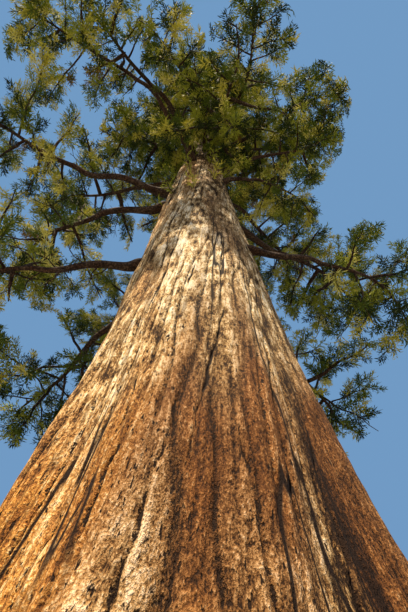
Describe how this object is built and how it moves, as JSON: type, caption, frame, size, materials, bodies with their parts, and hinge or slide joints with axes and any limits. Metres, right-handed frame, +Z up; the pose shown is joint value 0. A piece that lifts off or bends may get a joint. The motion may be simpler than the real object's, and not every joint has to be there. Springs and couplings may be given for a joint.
{
  "type": "giant sequoia tree",
  "caption": "Old giant sequoia tree: a massive tapering trunk with ribbed, furrowed cinnamon bark, bare lower boughs and masses of fine foliage up to a rounded top; stands as scenery",
  "frame": {"origin": "centre of the flat cut at the foot of the trunk, at ground level", "axes": "+Z up along the trunk, -Y towards the side the picture was taken from, +X to the right in the picture"},
  "size_m": [13.3306, 12.5972, 39.993],
  "materials": {
    "trunk_bark": "thick fibrous bark in long ridges and furrows, dull",
    "bough_bark": "thin rough bark, dull",
    "foliage": "scaly needle sprays with a low sheen"
  },
  "bodies": {
    "root": {"bough_fore_left": "bough_bark", "bough_fore_left_high": "bough_bark", "bough_fore_left_low": "bough_bark", "bough_fore_middle": "bough_bark", "bough_fore_right": "bough_bark", "bough_fore_right_high": "bough_bark", "bough_fore_right_low": "bough_bark", "bough_fore_right_side": "bough_bark", "bough_high_back": "bough_bark", "bough_high_left": "bough_bark", "bough_high_right": "bough_bark", "bough_low_back": "bough_bark", "bough_low_back_left": "bough_bark", "bough_low_back_right": "bough_bark", "bough_low_left": "bough_bark", "bough_low_right": "bough_bark", "bough_side_back_left": "bough_bark", "bough_side_back_right": "bough_bark", "bough_side_left": "bough_bark", "bough_side_right": "bough_bark", "foliage_crown_01": "foliage", "foliage_crown_02": "foliage", "foliage_crown_03": "foliage", "foliage_crown_04": "foliage", "foliage_crown_05": "foliage", "foliage_crown_06": "foliage", "foliage_crown_07": "foliage", "foliage_crown_08": "foliage", "foliage_crown_09": "foliage", "foliage_crown_10": "foliage", "foliage_crown_11": "foliage", "foliage_crown_12": "foliage", "foliage_crown_13": "foliage", "foliage_crown_14": "foliage", "foliage_crown_15": "foliage", "foliage_crown_16": "foliage", "foliage_crown_17": "foliage", "foliage_crown_18": "foliage", "foliage_fore_left": "foliage", "foliage_fore_left_high": "foliage", "foliage_fore_left_low": "foliage", "foliage_fore_middle": "foliage", "foliage_fore_right": "foliage", "foliage_fore_right_high": "foliage", "foliage_fore_right_low": "foliage", "foliage_fore_right_side": "foliage", "foliage_high_back": "foliage", "foliage_high_left": "foliage", "foliage_high_right": "foliage", "foliage_low_back": "foliage", "foliage_low_back_left": "foliage", "foliage_low_back_right": "foliage", "foliage_low_left": "foliage", "foliage_low_right": "foliage", "foliage_side_back_left": "foliage", "foliage_side_back_right": "foliage", "foliage_side_left": "foliage", "foliage_side_right": "foliage", "foliage_top": "foliage", "trunk": "trunk_bark"}
  },
  "joints": []
}
